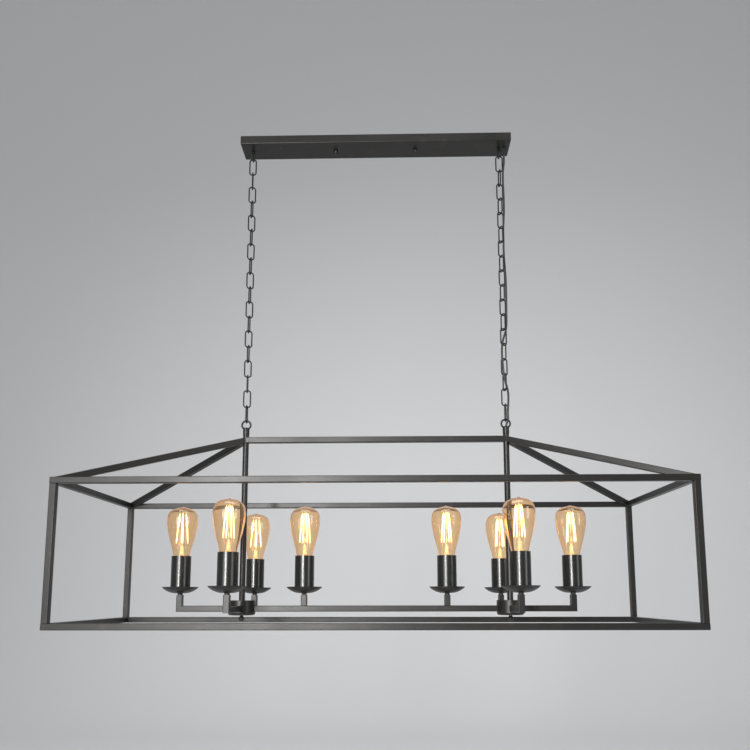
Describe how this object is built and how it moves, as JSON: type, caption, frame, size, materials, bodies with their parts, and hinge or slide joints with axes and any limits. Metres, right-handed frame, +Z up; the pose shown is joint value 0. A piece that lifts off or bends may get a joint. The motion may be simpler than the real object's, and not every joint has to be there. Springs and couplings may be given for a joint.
{
  "type": "linear island pendant",
  "caption": "Linear island pendant: open black square-tube cage with a hipped top, candle-style lamp arms on twin hubs, hung by chains from a long canopy",
  "frame": {"origin": "middle of the slotted strap's top face, on the ceiling plane", "axes": "+Z up, +X along the cage towards the chain that carries the cord, -Y towards the viewer"},
  "size_m": [1.219, 0.4, 1.1],
  "materials": {
    "black_satin": "satin",
    "zinc": "satin",
    "black_plastic": "matte",
    "cord_sheath": "satin",
    "brass": "polished",
    "amber_glass": "polished"
  },
  "bodies": {
    "root": {"canopy": "black_satin", "mounting_strap": "zinc", "canopy_studs": "zinc", "fixing_nuts": "zinc", "cap_nuts": "black_satin", "canopy_eyes": "black_satin", "cord_bushing": "black_plastic", "lamp_cord_outlet": "cord_sheath", "wire_connectors": "black_plastic"},
    "top_link_right": {"top_link_right": "black_satin", "lamp_cord_upper": "cord_sheath"},
    "chain_right": {"chain_right": "black_satin", "lamp_cord": "cord_sheath"},
    "bottom_link_right": {"bottom_link_right": "black_satin", "lamp_cord_lower": "cord_sheath"},
    "top_link_left": {"top_link_left": "black_satin"},
    "chain_left": {"chain_left": "black_satin"},
    "bottom_link_left": {"bottom_link_left": "black_satin"},
    "cage": {"rod_left": "black_satin", "outer_arm_left": "black_satin", "cross_arms_left": "black_satin", "top_rail_left": "black_satin", "bottom_rail_left": "black_satin", "corner_post_front_left": "black_satin", "hip_bar_front_left": "black_satin", "corner_post_rear_left": "black_satin", "hip_bar_rear_left": "black_satin", "rod_right": "black_satin", "outer_arm_right": "black_satin", "cross_arms_right": "black_satin", "top_rail_right": "black_satin", "bottom_rail_right": "black_satin", "corner_post_front_right": "black_satin", "hip_bar_front_right": "black_satin", "corner_post_rear_right": "black_satin", "hip_bar_rear_right": "black_satin", "top_rail_front": "black_satin", "bottom_rail_front": "black_satin", "top_rail_rear": "black_satin", "bottom_rail_rear": "black_satin", "lamp_cord_inlet": "cord_sheath", "rod_rings": "black_satin", "ridge_bar": "black_satin", "hubs": "black_satin", "hub_covers": "black_satin", "finials": "black_satin", "centre_arm": "black_satin", "socket_nipples": "black_satin", "drip_dishes": "black_satin", "socket_sleeves": "black_satin", "sockets": "black_plastic", "socket_shells": "brass"},
    "bulb_1": {"bulb_1": "amber_glass"},
    "bulb_2": {"bulb_2": "amber_glass"},
    "bulb_3": {"bulb_3": "amber_glass"},
    "bulb_4": {"bulb_4": "amber_glass"},
    "bulb_5": {"bulb_5": "amber_glass"},
    "bulb_6": {"bulb_6": "amber_glass"},
    "bulb_7": {"bulb_7": "amber_glass"},
    "bulb_8": {"bulb_8": "amber_glass"}
  },
  "joints": [
    {"name": "fore_aft_swing", "type": "hinge", "parent": "root", "child": "top_link_right", "pos_m": [0.283, 0, -0.0392], "axis": [1, 0, 0], "range_deg": [-20, 20]},
    {"name": "sideways_sway", "type": "hinge", "parent": "top_link_right", "child": "chain_right", "pos_m": [0.283, 0, -0.0736], "axis": [0, 1, 0], "range_deg": [-12, 12]},
    {"name": "right_bottom_sway", "type": "hinge", "parent": "chain_right", "child": "bottom_link_right", "pos_m": [0.283, 0, -0.624], "axis": [0, 1, 0], "range_deg": [-12, 12]},
    {"name": "cage_tilt", "type": "hinge", "parent": "bottom_link_right", "child": "cage", "pos_m": [0.283, 0, -0.6579], "axis": [1, 0, 0], "range_deg": [-12, 12]},
    {"name": "left_swing", "type": "hinge", "parent": "root", "child": "top_link_left", "pos_m": [-0.283, 0, -0.0392], "axis": [1, 0, 0], "range_deg": [-20, 20]},
    {"name": "left_sway", "type": "hinge", "parent": "top_link_left", "child": "chain_left", "pos_m": [-0.283, 0, -0.0736], "axis": [0, 1, 0], "range_deg": [-12, 12]},
    {"name": "left_bottom_sway", "type": "hinge", "parent": "chain_left", "child": "bottom_link_left", "pos_m": [-0.283, 0, -0.624], "axis": [0, 1, 0], "range_deg": [-12, 12]},
    {"name": "bulb_1_out", "type": "slide", "parent": "cage", "child": "bulb_1", "axis": [0, 0, 1], "range_m": [0, 0.028]},
    {"name": "bulb_2_out", "type": "slide", "parent": "cage", "child": "bulb_2", "axis": [0, 0, 1], "range_m": [0, 0.028]},
    {"name": "bulb_3_out", "type": "slide", "parent": "cage", "child": "bulb_3", "axis": [0, 0, 1], "range_m": [0, 0.028]},
    {"name": "bulb_4_out", "type": "slide", "parent": "cage", "child": "bulb_4", "axis": [0, 0, 1], "range_m": [0, 0.028]},
    {"name": "bulb_5_out", "type": "slide", "parent": "cage", "child": "bulb_5", "axis": [0, 0, 1], "range_m": [0, 0.028]},
    {"name": "bulb_6_out", "type": "slide", "parent": "cage", "child": "bulb_6", "axis": [0, 0, 1], "range_m": [0, 0.028]},
    {"name": "bulb_7_out", "type": "slide", "parent": "cage", "child": "bulb_7", "axis": [0, 0, 1], "range_m": [0, 0.028]},
    {"name": "bulb_8_out", "type": "slide", "parent": "cage", "child": "bulb_8", "axis": [0, 0, 1], "range_m": [0, 0.028]}
  ],
  "couplings": [
    {"joint": "right_bottom_sway", "follows": "sideways_sway", "ratio": -1},
    {"joint": "left_swing", "follows": "fore_aft_swing", "ratio": 1},
    {"joint": "left_sway", "follows": "sideways_sway", "ratio": 1},
    {"joint": "left_bottom_sway", "follows": "sideways_sway", "ratio": -1}
  ]
}
